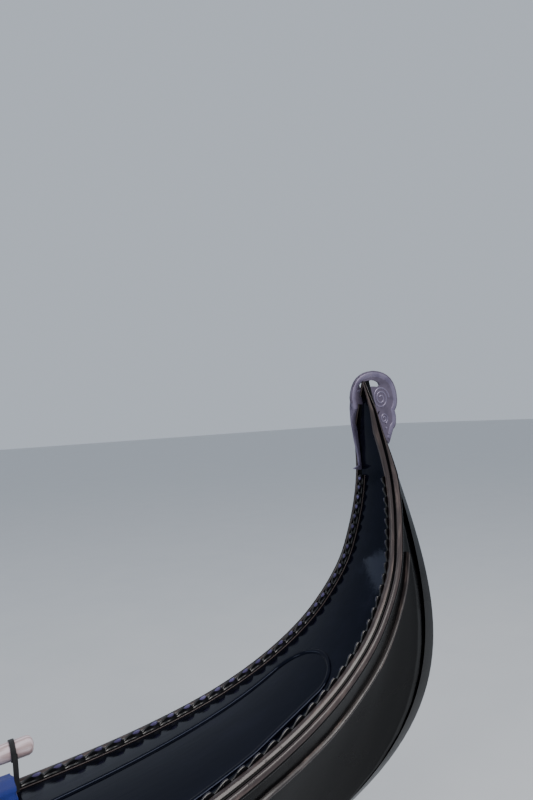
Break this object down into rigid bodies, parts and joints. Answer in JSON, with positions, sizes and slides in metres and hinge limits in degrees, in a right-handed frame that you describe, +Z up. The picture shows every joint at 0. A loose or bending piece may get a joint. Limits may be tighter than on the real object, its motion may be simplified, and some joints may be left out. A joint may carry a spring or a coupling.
{
  "type": "gondola boat",
  "caption": "Long narrow flat-bottomed rowing boat, black lacquered, with a raised curved stern, iron fittings at both ends, decked ends, cushioned seats and a stowed oar.",
  "frame": {"origin": "underside of the flat bottom amidships, in the plane of the end posts", "axes": "+X to the bow, +Y to port, +Z up"},
  "size_m": [10.8309, 1.4681, 2.017],
  "materials": {
    "lacquer": "glossy black lacquer",
    "worn_lacquer": "worn black paint over brown wood",
    "timber": "oiled wood",
    "oar_wood": "bare pale wood",
    "iron": "satin grey plate with a brighter rim",
    "upholstery": "plain dark red cloth",
    "canvas": "blue cover cloth",
    "webbing": "black strap"
  },
  "bodies": {
    "hull": {"bottom": "lacquer", "side_port": "lacquer", "side_starboard": "lacquer", "sternpost": "lacquer", "stem": "lacquer", "aft_deck": "lacquer", "foredeck": "lacquer", "gunwale_port": "worn_lacquer", "gunwale_starboard": "worn_lacquer", "side_rail_port": "worn_lacquer", "side_rail_starboard": "worn_lacquer", "deck_bead": "lacquer", "aft_trim_port": "worn_lacquer", "aft_trim_starboard": "worn_lacquer", "fore_trim_port": "worn_lacquer", "fore_trim_starboard": "worn_lacquer", "floor_timbers": "timber", "ribs_port": "timber", "ribs_starboard": "timber", "floorboards": "timber", "aft_bulkhead": "lacquer", "fore_bulkhead": "lacquer", "seat_base": "lacquer", "seat_cushion": "upholstery", "seat_back": "lacquer", "seat_back_cushion": "upholstery", "stool_port": "lacquer", "stool_cushion_port": "upholstery", "stool_starboard": "lacquer", "stool_cushion_starboard": "upholstery", "aft_thwart": "lacquer", "fore_thwart": "lacquer", "stern_iron": "iron", "bow_iron": "iron", "oar": "oar_wood", "cover": "canvas", "strap": "webbing", "oarlock_block": "lacquer", "footboard": "timber"},
    "aft_door": {"aft_locker_door": "lacquer"},
    "fore_door": {"fore_locker_door": "lacquer"},
    "oarlock": {"oarlock": "timber"}
  },
  "joints": [
    {"name": "aft_door_hinge", "type": "hinge", "parent": "hull", "child": "aft_door", "pos_m": [-1.872, -0.11, 0.31], "axis": [0, 0, -1], "range_deg": [0, 100]},
    {"name": "fore_door_hinge", "type": "hinge", "parent": "hull", "child": "fore_door", "pos_m": [2.122, -0.11, 0.31], "axis": [0, 0, 1], "range_deg": [0, 100]},
    {"name": "oarlock_lift", "type": "slide", "parent": "hull", "child": "oarlock", "axis": [0, 0, 1], "range_m": [0, 0.2]}
  ]
}
